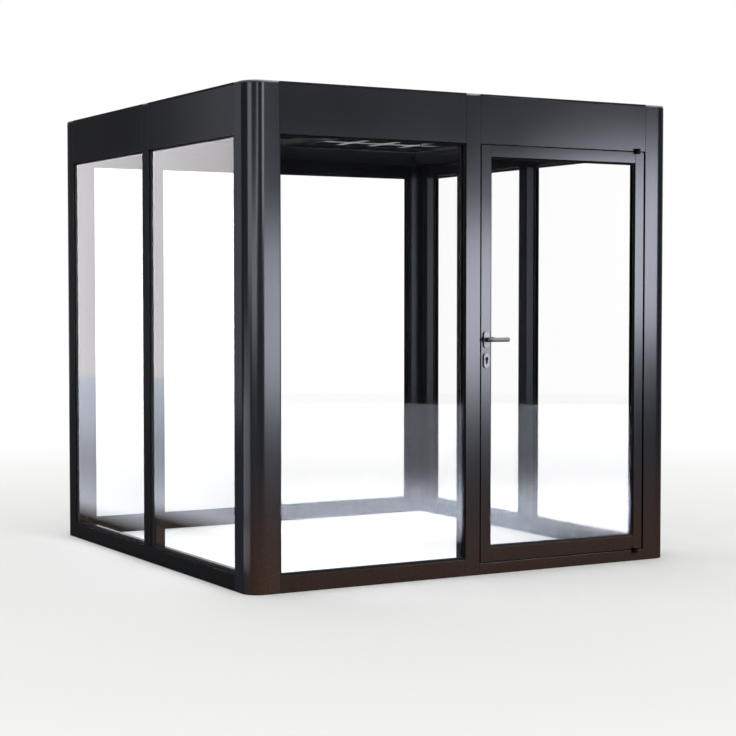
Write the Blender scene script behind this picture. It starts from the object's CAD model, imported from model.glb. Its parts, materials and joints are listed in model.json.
# Solar greenhouse: powder-coated aluminium profiles, clear insulating glass in every bay, a roof of
# solar glass and one hinged door. The CAD model gives every place and size, and here each piece
# gets its rounded edges, its small fittings and its finish. Metres, +Z up, the door faces -Y.
import json
from math import cos, pi, radians, sin, tan

import bmesh
import bpy
from mathutils import Matrix, Vector

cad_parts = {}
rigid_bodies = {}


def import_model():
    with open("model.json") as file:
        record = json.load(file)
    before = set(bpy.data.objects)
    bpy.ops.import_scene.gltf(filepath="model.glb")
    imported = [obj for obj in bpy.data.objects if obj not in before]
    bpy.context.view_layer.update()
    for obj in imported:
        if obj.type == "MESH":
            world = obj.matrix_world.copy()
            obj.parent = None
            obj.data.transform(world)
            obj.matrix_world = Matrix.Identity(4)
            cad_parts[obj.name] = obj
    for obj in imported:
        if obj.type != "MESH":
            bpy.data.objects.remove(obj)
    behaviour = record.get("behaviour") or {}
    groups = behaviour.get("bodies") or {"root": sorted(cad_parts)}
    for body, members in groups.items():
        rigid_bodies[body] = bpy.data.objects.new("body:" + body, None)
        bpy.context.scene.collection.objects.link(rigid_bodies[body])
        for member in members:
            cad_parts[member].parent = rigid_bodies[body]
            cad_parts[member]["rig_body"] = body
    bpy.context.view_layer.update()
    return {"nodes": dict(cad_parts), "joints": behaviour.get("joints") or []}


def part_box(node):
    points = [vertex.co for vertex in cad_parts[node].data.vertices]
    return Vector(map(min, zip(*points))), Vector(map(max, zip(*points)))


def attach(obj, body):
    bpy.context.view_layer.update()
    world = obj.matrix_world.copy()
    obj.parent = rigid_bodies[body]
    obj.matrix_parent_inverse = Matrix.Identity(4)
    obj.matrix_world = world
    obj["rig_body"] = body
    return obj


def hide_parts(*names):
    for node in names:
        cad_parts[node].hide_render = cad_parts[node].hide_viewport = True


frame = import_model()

scene = bpy.context.scene
scene.view_settings.view_transform = "Standard"


# ---- Camera ----
# A long lens at eye height, off the corner to the left of the door, so that the door wall and the
# left wall both show. It looks down by a few degrees.

EYE = Vector((-4.618, -8.271, 1.359))
LOOK_BEARING = 29.60
LOOK_DOWN = 2.45
LENS_MM = 86.84

camera = bpy.data.objects.new("camera", bpy.data.cameras.new("camera"))
camera.data.lens = LENS_MM
camera.data.sensor_width = 36
camera.location = EYE
camera.rotation_euler = (radians(90 - LOOK_DOWN), 0, radians(-LOOK_BEARING))
scene.collection.objects.link(camera)
scene.camera = camera


# ---- Studio floor ----
# A wide round floor of pale matt paint. It keeps the building's shadow near it, and further out it
# runs into the white of the backdrop, so that no edge shows. It throws little light back, as turf
# would, so that the profiles stay dark near the ground.

FLOOR_PALE = "#F4F4F2"
FLOOR_RADIUS = 14.5
SHADOW_RADIUS = 3.0
WHITE_RADIUS = 7.5
FLOOR_DROP = 0.0005
DIMMED = 0.93


def linear(hex_colour):
    """The linear colour that shaders take, from an sRGB hex value."""
    channels = [int(hex_colour[i:i + 2], 16) / 255 for i in (1, 3, 5)]
    return (*[c / 12.92 if c <= 0.04045 else ((c + 0.055) / 1.055) ** 2.4 for c in channels], 1)


def add(tree, kind, inputs=None, **settings):
    """Adds a shader node with its settings. An input is a plain value or a socket to link."""
    node = tree.nodes.new("ShaderNode" + kind)
    for name, value in settings.items():
        setattr(node, name, value)
    for name, value in (inputs or {}).items():
        if isinstance(value, bpy.types.NodeSocket):
            tree.links.new(value, node.inputs[name])
        else:
            node.inputs[name].default_value = value
    return node


def new_finish(name):
    """An empty node material."""
    finish = bpy.data.materials.new(name)
    finish.use_nodes = True
    finish.node_tree.nodes.clear()
    return finish, finish.node_tree


def new_piece(name, mesh, *finishes, smooth=True):
    """Makes an object of a bmesh, with its finishes in slot order."""
    data = bpy.data.meshes.new(name)
    mesh.to_mesh(data)
    mesh.free()
    for finish in finishes:
        data.materials.append(finish)
    data.polygons.foreach_set("use_smooth", [smooth] * len(data.polygons))
    piece = bpy.data.objects.new(name, data)
    scene.collection.objects.link(piece)
    return piece


def matt_floor_paint():
    """Matt paint, which fades into plain white light away from the building. Light that has
    bounced already finds it nearly black."""
    finish, tree = new_finish("matt_floor_paint")
    place = add(tree, "TexCoord").outputs["Object"]
    away = add(tree, "VectorMath", {0: place}, operation="LENGTH").outputs["Value"]
    fade = add(tree, "MapRange", {"Value": away, "From Min": SHADOW_RADIUS,
                                  "From Max": WHITE_RADIUS},
               interpolation_type="SMOOTHSTEP").outputs["Result"]
    paint = add(tree, "BsdfDiffuse", {"Color": linear(FLOOR_PALE)}).outputs[0]
    white = add(tree, "Emission", {"Strength": 1.0}).outputs[0]
    bright = add(tree, "MixShader", {0: fade, 1: paint, 2: white}).outputs[0]
    path = add(tree, "LightPath")
    bounced = add(tree, "Math", {0: path.outputs["Glossy Depth"],
                                 1: path.outputs["Diffuse Depth"]}, use_clamp=True).outputs[0]
    dimmed = add(tree, "Math", {0: bounced, 1: DIMMED}, operation="MULTIPLY").outputs[0]
    black = add(tree, "BsdfDiffuse", {"Color": (0, 0, 0, 1)}).outputs[0]
    shader = add(tree, "MixShader", {0: dimmed, 1: bright, 2: black}).outputs[0]
    add(tree, "OutputMaterial", {"Surface": shader})
    return finish


mesh = bmesh.new()
bmesh.ops.create_circle(mesh, cap_ends=True, segments=128, radius=FLOOR_RADIUS)
bmesh.ops.translate(mesh, verts=mesh.verts, vec=(0, 0, -FLOOR_DROP))
floor = new_piece("studio_floor", mesh, matt_floor_paint(), smooth=False)


# ---- Studio room ----
# White where it is seen directly, and a little stronger through the glass, which takes that much
# away. In reflections and as light, it is white behind the building and overhead, and dim in
# front. The edges are cosines of the angle from the backdrop, and sines of the height.

BACKDROP_BEARING = 30
BACKDROP_EDGES = (0.62, 0.97)
OVERHEAD_EDGES = (0.25, 0.7)
DIM = 0.04
OVERHEAD = 1.25
THROUGH_GLASS = 1.04

world = bpy.data.worlds.new("studio")
world.use_nodes = True
scene.world = world
tree = world.node_tree
tree.nodes.clear()
way = add(tree, "TexCoord").outputs["Generated"]
behind = (sin(radians(BACKDROP_BEARING)), cos(radians(BACKDROP_BEARING)), 0)
facing = add(tree, "VectorMath", {0: way, 1: behind}, operation="DOT_PRODUCT").outputs["Value"]
backdrop = add(tree, "MapRange", {"Value": facing, "From Min": BACKDROP_EDGES[0],
                                  "From Max": BACKDROP_EDGES[1], "To Min": DIM},
               interpolation_type="SMOOTHSTEP").outputs["Result"]
rise = add(tree, "SeparateXYZ", {0: way}).outputs["Z"]
overhead = add(tree, "MapRange", {"Value": rise, "From Min": OVERHEAD_EDGES[0],
                                  "From Max": OVERHEAD_EDGES[1], "To Max": OVERHEAD},
               interpolation_type="SMOOTHSTEP").outputs["Result"]
room = add(tree, "Math", {0: backdrop, 1: overhead}, operation="MAXIMUM").outputs[0]
path = add(tree, "LightPath")
bounces = add(tree, "Math", {0: path.outputs["Glossy Depth"], 1: path.outputs["Diffuse Depth"]},
              operation="ADD").outputs[0]
straight = add(tree, "Math", {0: bounces, 1: 0.5}, operation="LESS_THAN").outputs[0]
through = add(tree, "Math", {0: path.outputs["Is Transmission Ray"], 1: straight},
              operation="MULTIPLY").outputs[0]
strength = add(tree, "Mix", {0: through, 2: room, 3: THROUGH_GLASS},
               data_type="FLOAT").outputs[0]
strength = add(tree, "Mix", {0: path.outputs["Is Camera Ray"], 2: strength, 3: 1.0},
               data_type="FLOAT").outputs[0]
light = add(tree, "Background", {"Color": (1, 1, 1, 1), "Strength": strength}).outputs[0]
add(tree, "OutputWorld", {"Surface": light})


# ---- Powder-coated profiles ----
# Extruded aluminium in anthracite powder coat, baked on to a fine satin skin. Every profile is cut
# to length and butted to the next, and its rounded edges leave a hairline at each joint. Rain and
# boots have splashed a little damp soil up the front.

COAT_DARK = "#18191C"
COAT_PALE = "#1D1E21"
SOIL = "#805014"
PROFILE_EDGE = 0.0012
COAT_GRAIN = 0.0025
COAT_CLOUD = 0.35
COAT_SMOOTHEST, COAT_ROUGHEST = 0.15, 0.19
SPLASH_TOP = 0.75
SPLASH_THICKEST = 0.23
SPECKLES_PER_METRE = 90
WELD = 0.00001
FLAT = radians(1)
SHARP = radians(30)
COATED = [name for name in frame["nodes"] if name.startswith(
    ("corner_post_", "mullion_", "header_", "sill_", "door_threshold", "roof_beam_",
     "roof_centre_bar", "door_hinge_stile", "door_lock_stile", "door_top_rail",
     "door_bottom_rail"))]


def satin_powder_coat():
    """Powder coat: a satin skin that mirrors lamps softly, with a faint cloudiness. Its grain is
    half a millimetre wide, and is drawn at five times that so that it shows."""
    finish, tree = new_finish("satin_powder_coat")
    place = add(tree, "TexCoord").outputs["Object"]
    cloud = add(tree, "TexNoise", {"Vector": place, "Scale": 1 / COAT_CLOUD,
                                   "Detail": 3}).outputs["Fac"]
    coat = add(tree, "Mix", {0: cloud, 6: linear(COAT_DARK), 7: linear(COAT_PALE)},
               data_type="RGBA").outputs[2]
    height = add(tree, "SeparateXYZ", {0: place}).outputs["Z"]
    low = add(tree, "MapRange", {"Value": height, "From Min": SPLASH_TOP, "From Max": 0,
                                 "To Max": SPLASH_THICKEST},
              interpolation_type="SMOOTHSTEP").outputs["Result"]
    facing = add(tree, "TexCoord").outputs["Normal"]
    front = add(tree, "VectorMath", {0: facing, 1: (0, -1, 0)},
                operation="DOT_PRODUCT").outputs["Value"]
    low_front = add(tree, "Math", {0: low, 1: front}, operation="MULTIPLY",
                    use_clamp=True).outputs[0]
    speckle = add(tree, "TexNoise", {"Vector": place, "Scale": SPECKLES_PER_METRE,
                                     "Detail": 4}).outputs["Fac"]
    splash = add(tree, "Math", {0: low_front, 1: speckle}, operation="MULTIPLY").outputs[0]
    colour = add(tree, "Mix", {0: splash, 6: coat, 7: linear(SOIL)}, data_type="RGBA").outputs[2]
    grain = add(tree, "TexNoise", {"Vector": place, "Scale": 1 / COAT_GRAIN,
                                   "Detail": 1}).outputs["Fac"]
    rough = add(tree, "MapRange", {"Value": cloud, "To Min": COAT_SMOOTHEST,
                                   "To Max": COAT_ROUGHEST}).outputs["Result"]
    bump = add(tree, "Bump", {"Height": grain, "Strength": 0.04,
                              "Distance": 0.0002}).outputs["Normal"]
    shader = add(tree, "BsdfPrincipled", {"Base Color": colour, "Roughness": rough, "Normal": bump,
                                          "Specular IOR Level": 0.25}).outputs[0]
    add(tree, "OutputMaterial", {"Surface": shader})
    return finish


def rounded(node, radius, segments=2):
    """A bmesh of a CAD piece with its sharp edges rounded."""
    mesh = bmesh.new()
    mesh.from_mesh(frame["nodes"][node].data)
    bmesh.ops.remove_doubles(mesh, verts=mesh.verts, dist=WELD)
    bmesh.ops.dissolve_limit(mesh, angle_limit=FLAT, verts=mesh.verts, edges=mesh.edges)
    sharp = [edge for edge in mesh.edges if edge.is_manifold and edge.calc_face_angle() > SHARP]
    bmesh.ops.bevel(mesh, geom=sharp, offset=radius, segments=segments, profile=0.5, affect="EDGES",
                    clamp_overlap=True, material=-1)
    return mesh


def seat(piece, cad_node=None, body=None):
    """Rides a piece on the body of the CAD node that it stands for, or on the body named."""
    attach(piece, body or frame["nodes"][cad_node]["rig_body"])
    if cad_node:
        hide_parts(cad_node)
    weighted = piece.modifiers.new("flat_faces_stay_flat", "WEIGHTED_NORMAL")
    weighted.keep_sharp = True


powder_coat = satin_powder_coat()
for name in COATED:
    seat(new_piece(name + "_coated", rounded(name, PROFILE_EDGE), powder_coat), name)


# ---- Insulating glass ----
# Each pane is a sealed unit: two sheets of clear float glass with ground edges, held apart by a
# black spacer that the profiles hide. Lamps shine straight through it.

SHEET = 0.004
ARRIS = 0.0008
SPACER_WIDTH = 0.010
SPACER_GRIT = 0.0025
PANE_INDEX = 1.13
SHADE_TINT = (0.96, 0.97, 0.965, 1)
PANES = [name for name in frame["nodes"] if name.startswith("pane_")] + ["door_pane"]


def float_glass(name, tint, ior):
    """Clear float glass: smooth and nearly colourless. Its index is lower than plain glass has,
    as on glass with an anti-reflection coat, so it mirrors only at a low angle."""
    finish, tree = new_finish(name)
    glass = add(tree, "BsdfPrincipled", {"Base Color": linear(tint), "Roughness": 0, "IOR": ior,
                                         "Transmission Weight": 1}).outputs[0]
    clear = add(tree, "BsdfTransparent", {"Color": SHADE_TINT}).outputs[0]
    lamp_ray = add(tree, "LightPath").outputs["Is Shadow Ray"]
    shader = add(tree, "MixShader", {0: lamp_ray, 1: glass, 2: clear}).outputs[0]
    add(tree, "OutputMaterial", {"Surface": shader})
    return finish


def spacer_bar():
    """Warm-edge spacer: black plastic foam with a fine matt surface. Its grit is finer than it is
    drawn here."""
    finish, tree = new_finish("spacer_bar")
    place = add(tree, "TexCoord").outputs["Object"]
    grit = add(tree, "TexNoise", {"Vector": place, "Scale": 1 / SPACER_GRIT,
                                  "Detail": 2}).outputs["Fac"]
    rough = add(tree, "MapRange", {"Value": grit, "To Min": 0.6, "To Max": 0.8}).outputs["Result"]
    shader = add(tree, "BsdfPrincipled", {"Base Color": linear("#141414"),
                                          "Roughness": rough}).outputs[0]
    add(tree, "OutputMaterial", {"Surface": shader})
    return finish


def bar(mesh, low, high, edge=0, finish=0):
    """Adds a box from its lowest to its highest corner, with its edges bevelled."""
    low, high = Vector(low), Vector(high)
    size = Matrix.Diagonal((*(high - low), 1))
    place = Matrix.Translation((low + high) / 2) @ size
    verts = bmesh.ops.create_cube(mesh, size=1, matrix=place)["verts"]
    for face in {face for vert in verts for face in vert.link_faces}:
        face.material_index = finish
    if edge:
        edges = {line for vert in verts for line in vert.link_edges}
        bmesh.ops.bevel(mesh, geom=list(edges), offset=edge, segments=1, profile=0.5,
                        affect="EDGES", clamp_overlap=True, material=-1)


def glass_unit(node):
    """Two sheets and the spacer between them, in the space of a CAD pane."""
    low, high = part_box(node)
    thin = min(range(3), key=lambda axis: high[axis] - low[axis])
    flat = 1 - thin
    mesh = bmesh.new()
    for start, end in ((low[thin], low[thin] + SHEET), (high[thin] - SHEET, high[thin])):
        a, b = low.copy(), high.copy()
        a[thin], b[thin] = start, end
        bar(mesh, a, b, ARRIS)
    inner_low, inner_high = low.copy(), high.copy()
    inner_low[thin] += SHEET
    inner_high[thin] -= SHEET
    for axis in (flat, 2):
        for side in (0, 1):
            a, b = inner_low.copy(), inner_high.copy()
            if side:
                a[axis] = b[axis] - SPACER_WIDTH
            else:
                b[axis] = a[axis] + SPACER_WIDTH
            if axis == 2:
                a[flat] += SPACER_WIDTH
                b[flat] -= SPACER_WIDTH
            bar(mesh, a, b, 0, 1)
    return mesh


clear_glass = float_glass("clear_float_glass", "#FFFFFF", PANE_INDEX)
spacer = spacer_bar()
glazing = []
for name in PANES:
    glazing.append(new_piece(name + "_unit", glass_unit(name), clear_glass, spacer,
                             smooth=False))
    seat(glazing[-1], name)


# ---- Rubber gaskets ----
# Extruded black EPDM that clips into the profiles on both sides of each pane, and the same rubber
# as a flat trim along the roof's edge.

RUBBER_EDGE = 0.001
BLOOM_SIZE = 0.04


def extruded_rubber():
    """EPDM rubber: black and softly matt, with a faint uneven bloom."""
    finish, tree = new_finish("extruded_rubber")
    place = add(tree, "TexCoord").outputs["Object"]
    bloom = add(tree, "TexNoise", {"Vector": place, "Scale": 1 / BLOOM_SIZE,
                                   "Detail": 5}).outputs["Fac"]
    colour = add(tree, "Mix", {0: bloom, 6: linear("#0B0B0C"), 7: linear("#17171A")},
                 data_type="RGBA").outputs[2]
    rough = add(tree, "MapRange", {"Value": bloom, "To Min": 0.45,
                                   "To Max": 0.65}).outputs["Result"]
    shader = add(tree, "BsdfPrincipled", {"Base Color": colour, "Roughness": rough}).outputs[0]
    add(tree, "OutputMaterial", {"Surface": shader})
    return finish


rubber = extruded_rubber()
for name in ("glazing_gaskets", "door_gasket", "roof_edge_trim"):
    seat(new_piece(name + "_rubber", rounded(name, RUBBER_EDGE), rubber), name)


# ---- Door pads ----
# Two strips of the same rubber, glued over and under the leaf at its hinge side, where the frame's
# stops end so that the leaf can turn. They close the slits there, clear of the frame.

PAD_LENGTH = 0.145
PAD_INSET = 0.002
PAD_HEIGHT = 0.0038
PAD_EDGE = 0.0008

leaf_low, leaf_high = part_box("door_hinge_stile")
mesh = bmesh.new()
for foot in (leaf_high.z, leaf_low.z - PAD_HEIGHT):
    bar(mesh, (leaf_high.x - PAD_LENGTH, leaf_low.y + PAD_INSET, foot),
        (leaf_high.x - PAD_INSET, leaf_high.y - PAD_INSET, foot + PAD_HEIGHT), PAD_EDGE)
seat(new_piece("door_pads", mesh, rubber), body="door_leaf")


# ---- Solar glass roof ----
# Each module is two bonded sheets of glass with rows of silicon cells between them. The cells are
# set well apart, so that light falls through the clear gaps, and thin ribbons join them in rows.

CELL = 0.156
COLUMN_PITCH = 0.2055
ROW_PITCH = 0.219
CELL_CORNER = 0.009
CELL_THICK = 0.0006
COLUMNS, ROWS = 4, 9
RIBBONS = 5
RIBBON_WIDTH = 0.0016
RIBBON_PROUD = 0.0003
FINGER_PITCH = 0.006
FINGER_SHARE = 0.08
CELL_CLOUD = 0.25
TIN_SPOT = 1 / 60
ROOF_INDEX = 1.1


def silicon_cell():
    """Monocrystalline silicon with an anti-reflection coat, bonded under glass: blue-black and
    nearly free of shine. Its silver fingers stand 2 mm apart, and are drawn every 6 mm."""
    finish, tree = new_finish("silicon_cell")
    place = add(tree, "TexCoord").outputs["Object"]
    across = add(tree, "SeparateXYZ", {0: place}).outputs["Y"]
    step = add(tree, "Math", {0: across, 1: 1 / FINGER_PITCH}, operation="MULTIPLY").outputs[0]
    part = add(tree, "Math", {0: step}, operation="FRACT").outputs[0]
    finger = add(tree, "Math", {0: part, 1: FINGER_SHARE}, operation="LESS_THAN").outputs[0]
    tone = add(tree, "TexNoise", {"Vector": place, "Scale": 1 / CELL_CLOUD,
                                  "Detail": 1}).outputs["Fac"]
    silicon = add(tree, "Mix", {0: tone, 6: linear("#080B16"), 7: linear("#0E1424")},
                  data_type="RGBA").outputs[2]
    colour = add(tree, "Mix", {0: finger, 6: silicon, 7: linear("#3C4252")},
                 data_type="RGBA").outputs[2]
    shader = add(tree, "BsdfPrincipled", {"Base Color": colour, "Roughness": 0.5,
                                          "Specular IOR Level": 0.02}).outputs[0]
    add(tree, "OutputMaterial", {"Surface": shader})
    return finish


def tinned_ribbon():
    """Tin-plated copper ribbon: dull silver."""
    finish, tree = new_finish("tinned_ribbon")
    place = add(tree, "TexCoord").outputs["Object"]
    dull = add(tree, "TexNoise", {"Vector": place, "Scale": 1 / TIN_SPOT}).outputs["Fac"]
    rough = add(tree, "MapRange", {"Value": dull, "To Min": 0.3, "To Max": 0.5}).outputs["Result"]
    shader = add(tree, "BsdfPrincipled", {"Base Color": linear("#A9ACB0"), "Metallic": 1,
                                          "Roughness": rough}).outputs[0]
    add(tree, "OutputMaterial", {"Surface": shader})
    return finish


def solar_module(node, opening):
    """Laminated glass with its field of cells, centred over the opening between the beams."""
    low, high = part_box(node)
    middle = (low.z + high.z) / 2
    mesh = bmesh.new()
    bar(mesh, low, high, ARRIS)
    first = Vector((sum(opening) / 2 - (COLUMNS - 1) / 2 * COLUMN_PITCH,
                    (low.y + high.y) / 2 - (ROWS - 1) / 2 * ROW_PITCH, middle))
    size = Matrix.Diagonal((CELL, CELL, CELL_THICK, 1))
    for column in range(COLUMNS):
        for row in range(ROWS):
            spot = first + Vector((column * COLUMN_PITCH, row * ROW_PITCH, 0))
            made = bmesh.ops.create_cube(mesh, size=1,
                                         matrix=Matrix.Translation(spot) @ size)["verts"]
            for face in {face for vert in made for face in vert.link_faces}:
                face.material_index = 1
            corners = {line for vert in made for line in vert.link_edges
                       if abs(line.verts[0].co.z - line.verts[1].co.z) > CELL_THICK / 2}
            bmesh.ops.bevel(mesh, geom=list(corners), offset=CELL_CORNER, segments=1, profile=0.5,
                            affect="EDGES", material=-1)
        for ribbon in range(RIBBONS):
            x = first.x + column * COLUMN_PITCH + (ribbon - (RIBBONS - 1) / 2) * CELL / RIBBONS
            reach = CELL / 2
            bar(mesh, (x - RIBBON_WIDTH / 2, first.y - reach,
                       middle - CELL_THICK / 2 - RIBBON_PROUD),
                (x + RIBBON_WIDTH / 2, first.y + (ROWS - 1) * ROW_PITCH + reach,
                 middle + CELL_THICK / 2 + RIBBON_PROUD), 0, 2)
    return mesh


bar_low, bar_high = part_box("roof_centre_bar")
left_beam_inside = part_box("roof_beam_left")[1].x
right_beam_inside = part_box("roof_beam_right")[0].x
roof_glass = float_glass("laminated_roof_glass", "#FDFFFE", ROOF_INDEX)
cell_silicon = silicon_cell()
ribbon_tin = tinned_ribbon()
for name, opening in (("solar_module_left", (left_beam_inside, bar_low.x)),
                      ("solar_module_right", (bar_high.x, right_beam_inside))):
    glazing.append(new_piece(name + "_cells", solar_module(name, opening), roof_glass, cell_silicon,
                             ribbon_tin, smooth=False))
    seat(glazing[-1], name)


# ---- Roof flashing ----
# Folded strips of aluminium in pale lacquer, fixed round the inside of the parapet. They shed the
# rain on to the glass, and show as light lines along the roof's edges from below.

FLASHING_LOW = 0.042
FLASHING_HIGH = 0.006
FLASHING_THICK = 0.0015
FLASHING_FOOT = 0.012
FLASHING_EDGE = 0.0003
RAIN_STREAKS = (30, 30, 3)


def pale_lacquer():
    """Polyester lacquer on aluminium sheet: off-white and evenly matt, with faint rain marks."""
    finish, tree = new_finish("pale_lacquer")
    place = add(tree, "TexCoord").outputs["Object"]
    streaks = add(tree, "Mapping", {"Vector": place, "Scale": RAIN_STREAKS}).outputs[0]
    rain = add(tree, "TexNoise", {"Vector": streaks, "Scale": 1, "Detail": 3}).outputs["Fac"]
    colour = add(tree, "Mix", {0: rain, 6: linear("#F1F1EE"), 7: linear("#E2E2DD")},
                 data_type="RGBA").outputs[2]
    shader = add(tree, "BsdfPrincipled", {"Base Color": colour, "Roughness": 0.5}).outputs[0]
    add(tree, "OutputMaterial", {"Surface": shader})
    return finish


mesh = bmesh.new()
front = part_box("header_front_left")
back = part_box("header_back_left")
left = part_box("header_left_front")
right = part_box("header_right_front")
inner_low = Vector((left[1].x, front[1].y, front[1].z - FLASHING_LOW))
inner_high = Vector((right[0].x, back[0].y, front[1].z - FLASHING_HIGH))
for axis in (0, 1):
    for side in (0, 1):
        a, b = inner_low.copy(), inner_high.copy()
        foot_a, foot_b = inner_low.copy(), inner_high.copy()
        foot_b.z = foot_a.z + FLASHING_THICK
        if side:
            a[axis] = b[axis] - FLASHING_THICK
            foot_a[axis] = foot_b[axis] - FLASHING_FOOT
        else:
            b[axis] = a[axis] + FLASHING_THICK
            foot_b[axis] = foot_a[axis] + FLASHING_FOOT
        if axis == 1:
            a.x += FLASHING_FOOT
            b.x -= FLASHING_FOOT
            foot_a.x += FLASHING_FOOT
            foot_b.x -= FLASHING_FOOT
        bar(mesh, a, b, FLASHING_EDGE)
        bar(mesh, foot_a, foot_b, FLASHING_EDGE)
seat(new_piece("roof_flashing", mesh, pale_lacquer(), smooth=False),
     body="frame")


# ---- Roof seals ----
# Strips of the same black rubber, pressed into the slit between the solar glass and the walls on
# all four sides.

SEAL_DROP = 0.0012
SEAL_PLAY = 0.0002
SEAL_EDGE = 0.0006

mesh = bmesh.new()
left_module, right_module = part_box("solar_module_left"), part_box("solar_module_right")
glass_low, glass_high = left_module[0].copy(), right_module[1].copy()
wall_low = Vector((left[1].x, front[1].y, glass_low.z))
wall_high = Vector((right[0].x, back[0].y, glass_high.z - SEAL_DROP))
for axis in (0, 1):
    for side in (0, 1):
        a, b = wall_low.copy(), wall_high.copy()
        if side:
            a[axis], b[axis] = glass_high[axis] + SEAL_PLAY, wall_high[axis] - SEAL_PLAY
        else:
            a[axis], b[axis] = wall_low[axis] + SEAL_PLAY, glass_low[axis] - SEAL_PLAY
        if axis == 1:
            a.x, b.x = glass_low.x + SEAL_PLAY, glass_high.x - SEAL_PLAY
        bar(mesh, a, b, SEAL_EDGE)
seat(new_piece("roof_seals", mesh, rubber), body="frame")


# ---- Post caps ----
# Flat end caps on top of every post and mullion, cast in aluminium and coated pale grey. Each
# stands on a narrower neck over the profile's end.

CAP_EDGE = 0.0008
CAST_GRAIN = 1 / 180


def cast_cap():
    """Cast aluminium, blasted and coated: pale grey and evenly dull. The grain is drawn at about
    5 mm, and the real one is under 1 mm."""
    finish, tree = new_finish("cast_cap")
    place = add(tree, "TexCoord").outputs["Object"]
    cast = add(tree, "TexNoise", {"Vector": place, "Scale": 1 / CAST_GRAIN,
                                  "Detail": 3}).outputs["Fac"]
    rough = add(tree, "MapRange", {"Value": cast, "To Min": 0.38, "To Max": 0.52}).outputs["Result"]
    bump = add(tree, "Bump", {"Height": cast, "Strength": 0.15,
                              "Distance": 0.0003}).outputs["Normal"]
    shader = add(tree, "BsdfPrincipled", {"Base Color": linear("#B4B6BA"), "Metallic": 0.2,
                                          "Roughness": rough, "Normal": bump}).outputs[0]
    add(tree, "OutputMaterial", {"Surface": shader})
    return finish


seat(new_piece("post_caps_cast", rounded("post_caps", CAP_EDGE), cast_cap()),
     "post_caps")


# ---- Hinges ----
# Two knuckle hinges in black enamelled steel: one barrel is fixed over or under the leaf and
# carries the pin, and the other turns on it with the door.

BARREL_EDGE = 0.0008
ENAMEL_PEEL = 1 / 300


def black_enamel():
    """Stoved enamel on steel: black, with a soft gloss and the faint waves of sprayed paint."""
    finish, tree = new_finish("black_enamel")
    place = add(tree, "TexCoord").outputs["Object"]
    peel = add(tree, "TexNoise", {"Vector": place, "Scale": 1 / ENAMEL_PEEL,
                                  "Detail": 2}).outputs["Fac"]
    rough = add(tree, "MapRange", {"Value": peel, "To Min": 0.25, "To Max": 0.4}).outputs["Result"]
    shader = add(tree, "BsdfPrincipled", {"Base Color": linear("#0E0E10"),
                                          "Roughness": rough}).outputs[0]
    add(tree, "OutputMaterial", {"Surface": shader})
    return finish


enamel = black_enamel()
for name in ("frame_hinge_barrels", "door_hinge_barrels"):
    seat(new_piece(name + "_enamelled", rounded(name, BARREL_EDGE), enamel), name)


# ---- Handle plates ----
# Two oval plates on each face of the lock stile, one for the lever and one for the key, pressed
# from stainless steel and brushed.

PLATE_EDGE = 0.0018
PLATE_SEGMENTS = 3
BRUSH_LINES = (40, 40, 2500)


def satin_steel(name="satin_steel", colour="#ACACAE", smoothest=0.36, roughest=0.5):
    """Stainless steel, finely brushed in level lines: pale, with a soft stretched shine."""
    finish, tree = new_finish(name)
    place = add(tree, "TexCoord").outputs["Object"]
    along = add(tree, "Mapping", {"Vector": place, "Scale": BRUSH_LINES}).outputs[0]
    brushed = add(tree, "TexNoise", {"Vector": along, "Scale": 1, "Detail": 2}).outputs["Fac"]
    rough = add(tree, "MapRange", {"Value": brushed, "To Min": smoothest,
                                   "To Max": roughest}).outputs["Result"]
    bump = add(tree, "Bump", {"Height": brushed, "Strength": 0.08,
                              "Distance": 0.0001}).outputs["Normal"]
    shader = add(tree, "BsdfPrincipled", {"Base Color": linear(colour), "Metallic": 1,
                                          "Roughness": rough, "Normal": bump}).outputs[0]
    add(tree, "OutputMaterial", {"Surface": shader})
    return finish


steel = satin_steel()
seat(new_piece("handle_plates_satin", rounded("handle_plates", PLATE_EDGE, PLATE_SEGMENTS),
               steel), "handle_plates")


# ---- Lock cylinder ----
# A euro-profile cylinder with a black finish, which passes through the leaf under the lever. The
# round plug that should hold the key's slot on each side is missing: see round_head.

PLUG_RADIUS = 0.0064
PLUG_PROUD = 0.0007
SLOT_WIDTH, SLOT_HEIGHT = 0.0009, 0.0078
SLOT_PROUD = 0.0002
CYLINDER_EDGE = 0.0005
HEAD_SIDES = 24
SOCKET_DEPTH = 0.9
SUNK = 0.0001

cylinder_low, cylinder_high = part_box("lock_cylinder")
barrel = (cylinder_high.x - cylinder_low.x) / 2
plug_spot = Vector((cylinder_low.x + barrel, 0, cylinder_high.z - barrel))


def round_head(mesh, centre, out, radius, height, socket=0):
    """A low round boss that stands out along a direction. Its socket, where it has one, goes
    most of the way down.

    Known fault: the last face of the mesh isn't always the new circle. At both ends of the
    cylinder and at the strike plate's lower screw it was a face of the body, which was pushed
    out in the boss's place."""
    turn = out.to_track_quat("Z", "Y").to_matrix().to_4x4()
    bmesh.ops.create_circle(mesh, cap_ends=True, segments=HEAD_SIDES, radius=radius,
                            matrix=Matrix.Translation(centre) @ turn)
    mesh.faces.ensure_lookup_table()
    risen = bmesh.ops.extrude_face_region(mesh, geom=[mesh.faces[-1]])["geom"]
    top = next(item for item in risen if isinstance(item, bmesh.types.BMFace))
    bmesh.ops.translate(mesh, verts=top.verts, vec=out * height)
    if socket:
        bmesh.ops.inset_region(mesh, faces=[top], thickness=radius - socket, depth=0)
        risen = bmesh.ops.extrude_face_region(mesh, geom=[top])["geom"]
        well = next(item for item in risen if isinstance(item, bmesh.types.BMFace))
        bmesh.ops.translate(mesh, verts=well.verts, vec=-out * height * SOCKET_DEPTH)
        bmesh.ops.delete(mesh, geom=[top], context="FACES_ONLY")


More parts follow.
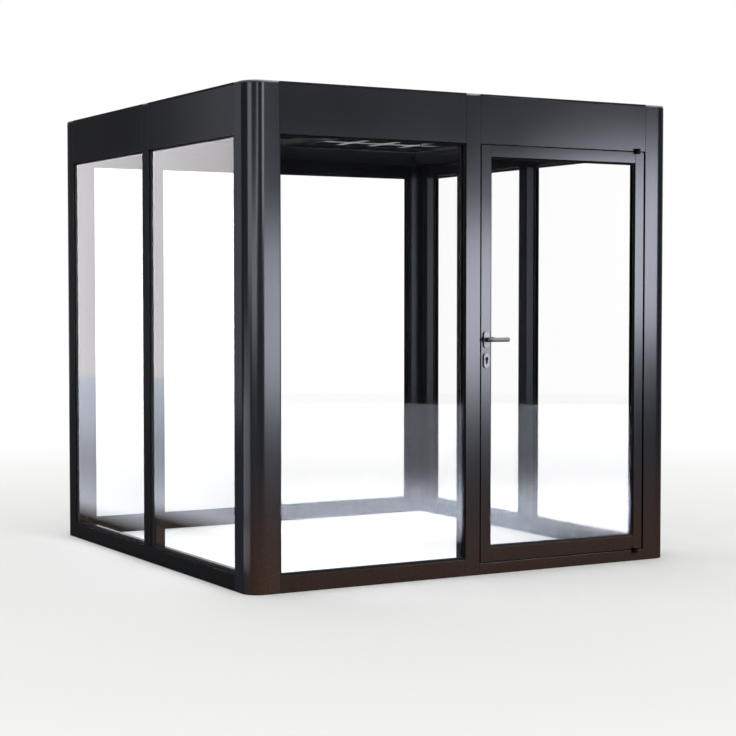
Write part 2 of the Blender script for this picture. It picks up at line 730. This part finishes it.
mesh = rounded("lock_cylinder", CYLINDER_EDGE)
for outward, face_y in ((-1, cylinder_low.y), (1, cylinder_high.y)):
    plug_spot.y = face_y - outward * SUNK
    round_head(mesh, plug_spot, Vector((0, outward, 0)), PLUG_RADIUS, PLUG_PROUD)
    rim = [face_y + outward * (PLUG_PROUD - SLOT_PROUD),
           face_y + outward * (PLUG_PROUD + SLOT_PROUD)]
    bar(mesh, (plug_spot.x - SLOT_WIDTH / 2, min(rim), plug_spot.z - SLOT_HEIGHT / 2),
        (plug_spot.x + SLOT_WIDTH / 2, max(rim), plug_spot.z + SLOT_HEIGHT / 2))
bmesh.ops.recalc_face_normals(mesh, faces=mesh.faces)
seat(new_piece("lock_cylinder_black", mesh, enamel), "lock_cylinder")


# ---- Face plate and strike plate ----
# Stainless plates let flush into the edges of the leaf and the mullion, with a screw at each end.
# The latch and the bolt lie drawn into the leaf, and the strike plate has an opening for each.
# The strike plate's lower screw is missing: see round_head.

LATCH = (0.014, 0.017)  # height over the lever's axis, and half the length
BOLT = (-0.064, 0.018)
BOLT_WIDTH = 0.011
BOLT_PROUD = 0.0008
BOLT_EDGE = 0.0004
FACEPLATE_EDGE = 0.0006
OPENING_PLAY = 0.002
SCREW_RADIUS = 0.0036
SCREW_SOCKET = 0.0017
SCREW_INSET = 0.010
SCREW_PROUD = 0.0004
BOX_DEPTH = 0.0004

lever_z = next(joint["pos_m"][2] for joint in frame["joints"] if joint["name"] == "lever_turn")


def end_screws(mesh, low, high, face_x, out):
    """A countersunk screw near each end of a plate."""
    for z in (low.z + SCREW_INSET, high.z - SCREW_INSET):
        round_head(mesh, Vector((face_x - out.x * SUNK, (low.y + high.y) / 2, z)), out,
                   SCREW_RADIUS, SCREW_PROUD, SCREW_SOCKET)


low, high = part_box("lock_faceplate")
middle = (low.y + high.y) / 2
mesh = rounded("lock_faceplate", FACEPLATE_EDGE)
for above, half in (LATCH, BOLT):
    bar(mesh, (low.x - BOLT_PROUD, middle - BOLT_WIDTH / 2, lever_z + above - half),
        (low.x + BOLT_PROUD, middle + BOLT_WIDTH / 2, lever_z + above + half), BOLT_EDGE)
end_screws(mesh, low, high, low.x, Vector((-1, 0, 0)))
bmesh.ops.recalc_face_normals(mesh, faces=mesh.faces)
seat(new_piece("lock_faceplate_satin", mesh, steel), "lock_faceplate")

low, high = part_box("strike_plate")
middle = (low.y + high.y) / 2
mesh = bmesh.new()
turn = Vector((1, 0, 0)).to_track_quat("Z", "Y").to_matrix().to_4x4()
size = Matrix.Diagonal((1, high.y - low.y, high.z - low.z, 1))
bmesh.ops.create_grid(mesh, x_segments=1, y_segments=1, size=0.5)
bmesh.ops.transform(mesh, verts=mesh.verts, matrix=Matrix.Translation(
    (high.x, middle, (low.z + high.z) / 2)) @ size @ turn)
openings = [(middle - BOLT_WIDTH / 2 - OPENING_PLAY, middle + BOLT_WIDTH / 2 + OPENING_PLAY,
             lever_z + above - half - OPENING_PLAY, lever_z + above + half + OPENING_PLAY)
            for above, half in (LATCH, BOLT)]
for y_low, y_high, z_low, z_high in openings:
    for spot, normal in (((0, y_low, 0), (0, 1, 0)), ((0, y_high, 0), (0, 1, 0)),
                         ((0, 0, z_low), (0, 0, 1)), ((0, 0, z_high), (0, 0, 1))):
        bmesh.ops.bisect_plane(mesh, geom=list(mesh.verts) + list(mesh.edges) + list(mesh.faces),
                               plane_co=spot, plane_no=normal, dist=WELD)
holes = [face for face in mesh.faces for y_low, y_high, z_low, z_high in openings
         if y_low < face.calc_center_median().y < y_high
         and z_low < face.calc_center_median().z < z_high]
bmesh.ops.delete(mesh, geom=holes, context="FACES")
bmesh.ops.recalc_face_normals(mesh, faces=mesh.faces)
risen = bmesh.ops.extrude_face_region(mesh, geom=list(mesh.faces))["geom"]
bmesh.ops.translate(mesh, verts=[item for item in risen if isinstance(item, bmesh.types.BMVert)],
                    vec=(low.x - high.x, 0, 0))
bmesh.ops.dissolve_limit(mesh, angle_limit=FLAT, verts=mesh.verts, edges=mesh.edges)
end_screws(mesh, low, high, high.x, Vector((1, 0, 0)))
bmesh.ops.recalc_face_normals(mesh, faces=mesh.faces)
seat(new_piece("strike_plate_satin", mesh, steel, smooth=False), "strike_plate")

mesh = bmesh.new()
for y_low, y_high, z_low, z_high in openings:
    bar(mesh, (low.x, y_low, z_low), (low.x + BOX_DEPTH, y_high, z_high))
seat(new_piece("strike_boxes", mesh, rubber, smooth=False), body="frame")


# ---- Lever ----
# One round stainless bar on each side of the leaf, bead blasted, so duller than its plate. It comes
# straight out of the plate, turns a tight corner and runs towards the hinges, with a flat end.

LEVER_BEND = 0.013
LEVER_TIP_EDGE = 0.0012
LEVER_GAP = 0.0003
BAR_SIDES = 32
BEND_STEPS = 8
RIM = radians(60)

lever_low, lever_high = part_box("door_lever")
plate_low, plate_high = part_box("handle_plates")
lever_axis = next(Vector(joint["pos_m"]) for joint in frame["joints"]
                  if joint["name"] == "lever_turn")
bar_radius = (lever_high.z - lever_low.z) / 2


def lever_arm(mesh, start, reach, outward):
    """Sweeps the bar's circle out of the plate, round its bend and along to its tip."""
    turn = Matrix.Rotation(pi / 2, 4, "X")
    ring = bmesh.ops.create_circle(mesh, segments=BAR_SIDES, radius=bar_radius,
                                   matrix=Matrix.Translation(start) @ turn)
    edges = list({edge for vert in ring["verts"] for edge in vert.link_edges})
    straight_out = reach - LEVER_BEND
    swept = bmesh.ops.extrude_edge_only(mesh, edges=edges)["geom"]
    verts = [item for item in swept if isinstance(item, bmesh.types.BMVert)]
    bmesh.ops.translate(mesh, verts=verts, vec=(0, outward * straight_out, 0))
    edges = [item for item in swept if isinstance(item, bmesh.types.BMEdge)
             and all(vert in verts for vert in item.verts)]
    centre = Vector((start.x + LEVER_BEND, start.y + outward * straight_out, start.z))
    bent = bmesh.ops.spin(mesh, geom=edges, cent=centre, axis=(0, 0, 1),
                          angle=-outward * pi / 2, steps=BEND_STEPS)
    edges = [item for item in bent["geom_last"] if isinstance(item, bmesh.types.BMEdge)]
    swept = bmesh.ops.extrude_edge_only(mesh, edges=edges)["geom"]
    verts = [item for item in swept if isinstance(item, bmesh.types.BMVert)]
    run = lever_high.x - start.x - LEVER_BEND
    bmesh.ops.translate(mesh, verts=verts, vec=(run, 0, 0))


def round_rims(mesh, radius, segments):
    """Turns the faces outwards and rounds the rims of a mesh of round bars."""
    bmesh.ops.recalc_face_normals(mesh, faces=mesh.faces)
    rims = [edge for edge in mesh.edges if edge.is_manifold and edge.calc_face_angle() > RIM]
    bmesh.ops.bevel(mesh, geom=rims, offset=radius, segments=segments, profile=0.5,
                    affect="EDGES", material=-1)


mesh = bmesh.new()
for outward, face_y, tip_y in ((-1, plate_low.y, lever_low.y), (1, plate_high.y, lever_high.y)):
    start = Vector((lever_axis.x, face_y + outward * LEVER_GAP, lever_axis.z))
    lever_arm(mesh, start, abs(tip_y - start.y) - bar_radius, outward)
bmesh.ops.holes_fill(mesh, edges=[edge for edge in mesh.edges if edge.is_boundary])
round_rims(mesh, LEVER_TIP_EDGE, 3)
matt_steel = satin_steel("blasted_steel", "#9C9C9D", 0.6, 0.72)
seat(new_piece("lever_handles", mesh, matt_steel), "door_lever")


# ---- Lever collars ----
# Sleeves of the same black rubber round the lever's two necks, where they come out of the plates.
# They turn with the lever and cover the gap round it.

COLLAR_WALL = 0.0008
COLLAR_LENGTH = 0.022
COLLAR_GAP = 0.0004
COLLAR_EDGE = 0.0006

mesh = bmesh.new()
for outward, face_y in ((-1, plate_low.y), (1, plate_high.y)):
    round_head(mesh, Vector((lever_axis.x, face_y + outward * COLLAR_GAP, lever_axis.z)),
               Vector((0, outward, 0)), bar_radius + COLLAR_WALL, COLLAR_LENGTH)
round_rims(mesh, COLLAR_EDGE, 2)
seat(new_piece("lever_collars", mesh, rubber), body="lever")


# ---- Studio lamps ----
# A key lamp from the front right gives the fittings their shadows. Soft boxes for the coat stand
# round the corner post, where they show as upright lines in its curve, and off the door wall,
# where they show as a band halfway up. Others veil the panes from close by or light the fittings.

CORNER = (-1.105, -1.077)
COOL = "#EBEFFF"
HAZE = "#E5ECFF"
SKY = "#FFFBFF"
LOW_HAZE = "#E9F0FF"
VEIL_PLANE = -1.45
TOUCHING = 0.002
KEY_FROM = Vector((0.57, -0.60, 0.57))
KEY_STRENGTH = 0.8


def receivers(name, pieces):
    """A collection of the pieces that a lamp lights."""
    group = bpy.data.collections.new(name)
    for piece in pieces:
        group.objects.link(piece)
    return group


def soft_box(name, place, bearing, size, radiance, group, pitch=0, colour=COOL, fade=(),
             spread=180):
    """A flat lamp at a place, with its back to a compass bearing and a pitch. Fade gives its
    strength from foot to head, as pairs of a height and a share. Spread is the angle that it
    shines into, and a narrow one is made as bright straight ahead as a wide one."""
    lamp = bpy.data.lights.new(name, "AREA")
    lamp.shape = "RECTANGLE"
    lamp.size, lamp.size_y = size
    lamp.energy = radiance * pi * size[0] * size[1]
    lamp.color = linear(colour)[:3]
    if spread < 180:
        half = radians(spread / 2)
        lamp.spread = 2 * half
        lamp.energy *= 1 - half / tan(half)
    if fade:
        lamp.use_nodes = True
        tree = lamp.node_tree
        tree.nodes.clear()
        across = add(tree, "NewGeometry").outputs["Parametric"]
        height = add(tree, "SeparateXYZ", {0: across}).outputs["Y"]
        curve = add(tree, "FloatCurve", {"Value": height})
        line = curve.mapping.curves[0]
        while len(line.points) < len(fade):
            line.points.new(0.5, 0.5)
        for point, (level, share) in zip(line.points, fade):
            point.location = (level, share)
            point.handle_type = "VECTOR"
        curve.mapping.update()
        light = add(tree, "Emission", {"Strength": curve.outputs[0]}).outputs[0]
        add(tree, "OutputLight", {"Surface": light})
    box = bpy.data.objects.new(name, lamp)
    level = cos(radians(pitch))
    out = Vector((sin(radians(bearing)) * level, cos(radians(bearing)) * level,
                  sin(radians(pitch))))
    turn = out.to_track_quat("Z", "Y").to_matrix().to_4x4()
    box.matrix_world = Matrix.Translation(place) @ turn
    box.visible_camera = False
    box.visible_transmission = False
    scene.collection.objects.link(box)
    box.light_linking.receiver_collection = group


def round_the_corner(name, first, last, low, high, distance, radiance, group):
    """A soft box that the corner post sees between two bearings and two heights."""
    bearing = (first + last) / 2
    out = Vector((sin(radians(bearing)), cos(radians(bearing)), 0))
    place = Vector((*CORNER, (low + high) / 2)) + out * distance
    width = 2 * distance * sin(radians(last - first) / 2)
    soft_box(name, place, bearing, (width, high - low), radiance, group)


def reaching(pieces, axis, plane):
    """The pieces that reach an outer face of the building."""
    return [piece for piece in pieces
            if min(corner[axis] for corner in piece.bound_box) < plane + TOUCHING]


def ending(pieces, *words):
    """The pieces whose names end in one of some words."""
    return [piece for piece in pieces if piece.name.endswith(words)]


def starting(pieces, *words):
    """The pieces whose names start with one of some words."""
    return [piece for piece in pieces if piece.name.startswith(words)]


shown = [piece for piece in scene.objects if piece.type == "MESH" and piece is not floor]
coated = ending(shown, "_coated")
door_wall = reaching(coated, 1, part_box("header_front_left")[0].y)
left_wall = reaching(coated, 0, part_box("header_left_front")[0].x)
far_posts = starting(coated, "mullion_right", "corner_post_back_right")
on_corner = receivers("on_corner", [piece for piece in door_wall if piece in left_wall])
on_left = receivers("on_left", left_wall)
on_front = receivers("on_front", door_wall)
on_front_and_far = receivers("on_front_and_far", door_wall + far_posts)
left_panes = receivers("left_panes", starting(glazing, "pane_left"))
front_panes = receivers("front_panes", starting(glazing, "pane_front", "door_pane"))
on_flashing = receivers("on_flashing", ending(shown, "_flashing"))
fittings = receivers("fittings", ending(shown, "_satin", "_handles", "_cast", "_flashing"))
opaque = receivers("opaque", [piece for piece in shown if piece not in glazing])

round_the_corner("side_strip", 239, 266, 1.4, 5.0, 8, 6.2, on_left)
round_the_corner("side_foot", 252, 300, 0.35, 0.95, 8, 3.4, on_corner)
round_the_corner("low_foot", 252, 310, 0.0, 0.75, 2.6, 3.4, on_corner)
round_the_corner("ground_foot", 252, 310, 0.0, 0.2, 0.8, 2.7, on_corner)
round_the_corner("level_strip", 206, 240, 0.9, 2.2, 10, 8.4, on_corner)
round_the_corner("rear_strip", 197, 206, 2.2, 5.5, 10, 6.6, on_corner)
round_the_corner("rear_foot", 204, 213, 1.9, 2.7, 9.8, 6.4, on_corner)
round_the_corner("corner_strip", 159, 171, 1.9, 5.0, 8, 11.5, on_corner)
round_the_corner("wall_strip", 326, 337, 0.2, 4.6, 8, 0.65, on_left)
soft_box("near_band", (3.67, -10.64, 1.06), 153.5, (2.1, 1.8), 17.5, on_front_and_far)
soft_box("middle_band", (5.77, -10.05, 1.18), 147, (2.1, 1.76), 23.0, on_front_and_far)
soft_box("hinge_band", (7.73, -9.43, 1.86), 141.3, (2.1, 2.0), 21.5, on_front_and_far)
soft_box("high_band", (5.45, -9.55, 4.2), 147, (9.0, 1.2), 1.3, on_front)
soft_box("left_veil", (VEIL_PLANE, -0.4, 1.75), 270, (2.04, 1.7), 13.2, left_panes, colour=SKY)
soft_box("left_veil_far", (VEIL_PLANE, 1.76, 1.73), 270, (2.24, 1.74), 10.6, left_panes,
         colour=SKY)
soft_box("left_haze", (VEIL_PLANE, -0.4, 0.45), 270, (2.04, 0.9), 14.8, left_panes,
         colour=LOW_HAZE, fade=((0, 0), (0.15, 0), (0.26, 0.78), (0.38, 0.6), (0.5, 0.5),
                                (0.62, 0.49), (0.73, 0.6), (1, 0.8)))
soft_box("left_haze_far", (VEIL_PLANE, 1.76, 0.43), 270, (2.24, 0.86), 11.7, left_panes,
         colour=LOW_HAZE, fade=((0, 0), (0.03, 0), (0.15, 0.72), (0.28, 0.58), (0.42, 0.49),
                                (0.56, 0.58), (0.7, 0.74), (1, 0.86)))
soft_box("front_veil", (0.565, -2.066, 0.38), 148, (2.5, 0.75), 145.0, front_panes,
         colour=HAZE, spread=60, fade=((0, 0.1), (0.045, 0.4), (0.1, 0.75), (0.16, 0.95),
                                       (0.28, 1), (0.335, 0.85), (0.39, 0.55), (0.45, 0.33),
                                       (0.535, 0.18), (1, 0.18)))
soft_box("fittings_box", (5.45, -9.55, 1.6), 147, (7.0, 4.0), 2.9, fittings)
soft_box("flashing_box", (0, -3, 5.3), 180, (3.0, 3.0), 6.0, on_flashing, pitch=45)
soft_box("fittings_board", (0.9, -2.7, 0.02), 0, (2.4, 2.0), 1.0, fittings, pitch=-90)

key = bpy.data.objects.new("key", bpy.data.lights.new("key", "SUN"))
key.data.energy = KEY_STRENGTH
key.data.angle = radians(3)
key.matrix_world = KEY_FROM.to_track_quat("Z", "Y").to_matrix().to_4x4()
scene.collection.objects.link(key)
key.light_linking.receiver_collection = opaque
